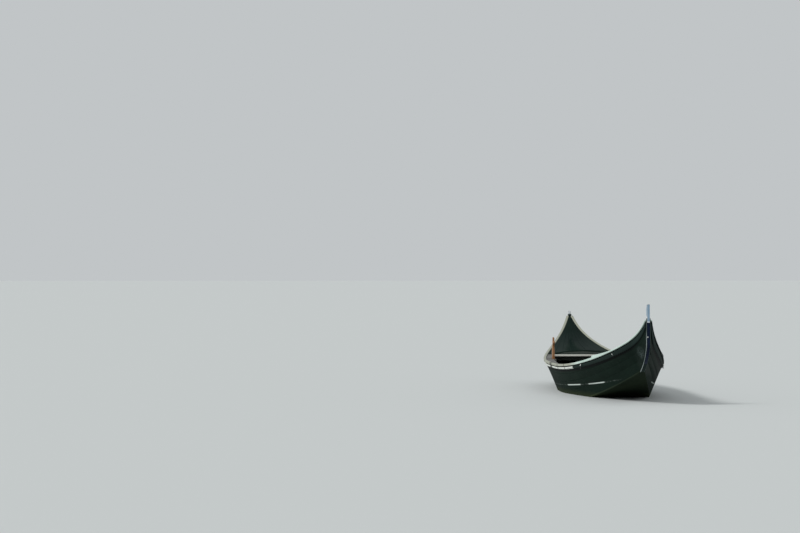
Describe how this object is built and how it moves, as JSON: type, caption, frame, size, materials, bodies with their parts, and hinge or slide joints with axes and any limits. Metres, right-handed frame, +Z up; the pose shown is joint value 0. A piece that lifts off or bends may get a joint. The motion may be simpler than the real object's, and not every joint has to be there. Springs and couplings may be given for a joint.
{
  "type": "ferry gondola boat",
  "caption": "Long flat-bottomed wooden rowing boat with high curved ends, decks, thwarts, oar rests and plain end irons.",
  "frame": {"origin": "amidships on the centreline, on the plane of the waterline", "axes": "+X to the bow, +Y to port, +Z up"},
  "size_m": [10.916, 1.866, 1.808],
  "materials": {
    "hull_paint": "gloss black-green paint",
    "bottom_paint": "dull dark paint",
    "inner_paint": "worn dark paint",
    "rail_paint": "pale grey-green paint",
    "bare_wood": "oiled walnut",
    "band": "dark blue-black paint",
    "iron": "satin steel"
  },
  "bodies": {
    "root": {"bottom_planking_aft": "bottom_paint", "bottom_planking_fore": "bottom_paint", "bottom_planking_middle": "bottom_paint", "bow_deck": "hull_paint", "bow_deck_end_board": "inner_paint", "bow_iron": "iron", "bow_oar_rest_block": "bare_wood", "bow_thwart": "rail_paint", "floor_timbers_aft": "inner_paint", "floor_timbers_fore": "inner_paint", "floor_timbers_middle": "inner_paint", "floorboards_aft": "inner_paint", "floorboards_fore": "inner_paint", "floorboards_middle": "inner_paint", "gunwale_cap_port_aft": "rail_paint", "gunwale_cap_port_fore": "rail_paint", "gunwale_cap_port_middle": "rail_paint", "gunwale_cap_starboard_aft": "rail_paint", "gunwale_cap_starboard_fore": "rail_paint", "gunwale_cap_starboard_middle": "rail_paint", "rub_strake_port_aft": "rail_paint", "rub_strake_port_fore": "hull_paint", "rub_strake_port_middle": "rail_paint", "rub_strake_starboard_aft": "rail_paint", "rub_strake_starboard_fore": "hull_paint", "rub_strake_starboard_middle": "rail_paint", "side_deck_port": "rail_paint", "side_deck_starboard": "rail_paint", "side_frames_port_aft": "inner_paint", "side_frames_port_fore": "inner_paint", "side_frames_port_middle": "inner_paint", "side_frames_starboard_aft": "inner_paint", "side_frames_starboard_fore": "inner_paint", "side_frames_starboard_middle": "inner_paint", "side_planking_port_aft": "hull_paint", "side_planking_port_fore": "hull_paint", "side_planking_port_middle": "hull_paint", "side_planking_starboard_aft": "hull_paint", "side_planking_starboard_fore": "hull_paint", "side_planking_starboard_middle": "hull_paint", "stem_band": "hull_paint", "stem_post": "inner_paint", "stem_strap": "band", "stern_band": "hull_paint", "stern_deck": "hull_paint", "stern_deck_end_board": "inner_paint", "stern_iron": "iron", "stern_oar_rest": "bare_wood", "stern_post": "inner_paint", "stern_strap": "band", "stern_thwart": "rail_paint"}
  },
  "joints": []
}
